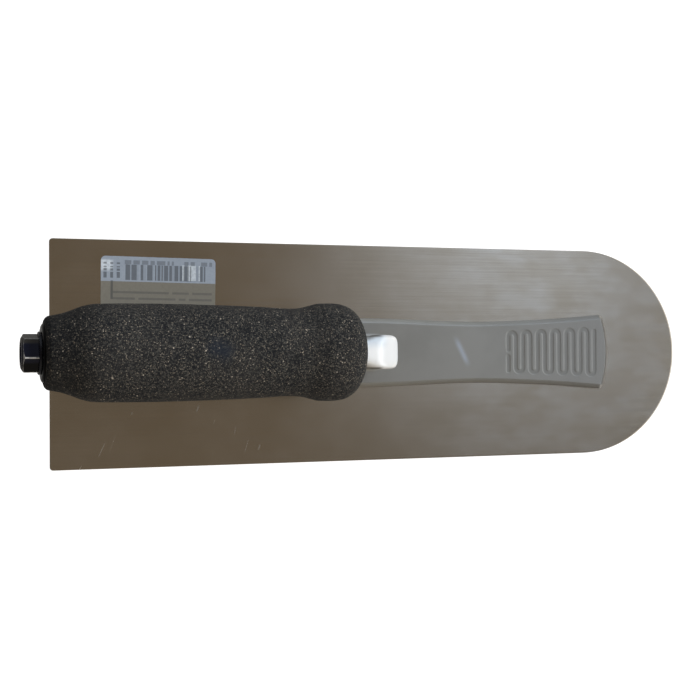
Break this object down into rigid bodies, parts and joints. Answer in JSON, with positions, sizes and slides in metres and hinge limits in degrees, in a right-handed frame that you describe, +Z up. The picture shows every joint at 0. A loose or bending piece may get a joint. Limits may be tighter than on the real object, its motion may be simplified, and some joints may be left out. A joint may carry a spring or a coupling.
{
  "type": "finishing trowel",
  "caption": "Steel finishing trowel: long flat blade with a square heel and half-round toe, cast aluminium mounting and a cork-rubber handle held by a nut.",
  "frame": {"origin": "centre of the blade's flat working face", "axes": "+X along the blade to the rounded toe, +Y across the blade to the labelled side, +Z up from the working face to the handle"},
  "size_m": [0.311, 0.1016, 0.0857],
  "materials": {
    "blade_steel": "satin stainless sheet with a warm bronze tint, brushed along its length",
    "stud_steel": "plain steel",
    "cast_aluminium": "satin casting, polished at the neck",
    "core_plastic": "gloss black",
    "cork_rubber": "matt black rubber with fine tan cork granules",
    "black_steel": "semi-gloss black finish on steel",
    "label_paper": "thin printed sticker"
  },
  "bodies": {
    "root": {"blade": "blade_steel", "blade_studs": "stud_steel", "mounting": "cast_aluminium", "handle_core": "core_plastic", "grip": "cork_rubber", "handle_stud": "black_steel", "handle_nut": "black_steel", "handle_washer": "black_steel", "label": "label_paper"}
  },
  "joints": []
}
